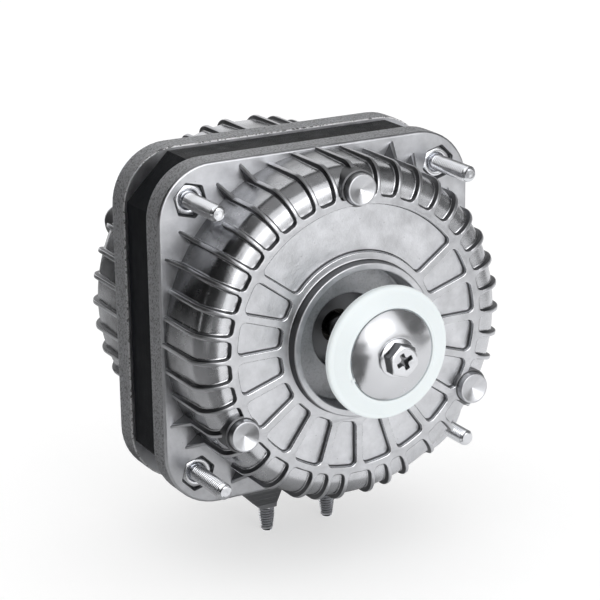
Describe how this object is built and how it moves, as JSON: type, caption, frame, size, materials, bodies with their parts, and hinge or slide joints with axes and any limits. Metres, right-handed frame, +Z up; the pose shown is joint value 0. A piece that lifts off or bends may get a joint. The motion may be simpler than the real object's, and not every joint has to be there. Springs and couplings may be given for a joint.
{
  "type": "shaded-pole fan motor",
  "caption": "Square shaded-pole fan motor with finned die-cast shields, a black lamination stack, stud fixings and a round fan hub.",
  "frame": {"origin": "on the shaft axis, in the plane of the front flange's front face, at the centre of the four tie bolts", "axes": "-Y along the shaft towards the fan, +Z up away from the base studs, +X to the right as seen from the fan side"},
  "size_m": [0.0851, 0.0856, 0.1003],
  "materials": {
    "cast_aluminium": "as-cast, tumbled, satin",
    "black_laminations": "black lacquer over stacked sheet edges",
    "copper": "bare copper",
    "sintered_bronze": "oiled sintered bronze",
    "oil_felt": "oil-soaked felt",
    "spring_steel": "blued spring steel",
    "black_rubber": "matte",
    "zinc_steel": "bright zinc plate",
    "zinc_cap": "bright zinc plate, pressed",
    "ground_steel": "ground",
    "rotor_iron": "blued stacked sheet edges, turned",
    "cage_aluminium": "as-cast",
    "natural_nylon": "moulded",
    "white_nylon": "moulded, white",
    "enamelled_copper": "enamelled wire, wound"
  },
  "bodies": {
    "housing": {"front_shield": "cast_aluminium", "rear_shield": "cast_aluminium", "stator_core": "black_laminations", "shading_rings": "copper", "front_bearing": "sintered_bronze", "rear_bearing": "sintered_bronze", "front_felt": "oil_felt", "rear_felt": "oil_felt", "front_retainer": "spring_steel", "rear_retainer": "spring_steel", "cable_grommet": "black_rubber", "tie_bolts": "zinc_steel", "tie_nuts": "zinc_steel", "base_studs": "zinc_steel", "bobbin_right": "natural_nylon", "winding_right": "enamelled_copper", "bobbin_top": "natural_nylon", "winding_top": "enamelled_copper", "bobbin_left": "natural_nylon", "winding_left": "enamelled_copper", "bobbin_bottom": "natural_nylon", "winding_bottom": "enamelled_copper"},
    "rotor": {"shaft": "ground_steel", "rotor_core": "rotor_iron", "rotor_cage": "cage_aluminium", "front_spacer": "natural_nylon", "rear_spacer": "natural_nylon", "front_thrust_washer": "natural_nylon", "rear_thrust_washer": "natural_nylon", "drive_hub": "white_nylon", "cap_washer": "zinc_cap", "hub_screw": "zinc_steel"}
  },
  "joints": [
    {"name": "rotor_spin", "type": "hinge", "parent": "housing", "child": "rotor", "pos_m": [0, 0, 0], "axis": [0, -1, 0], "continuous": true}
  ]
}
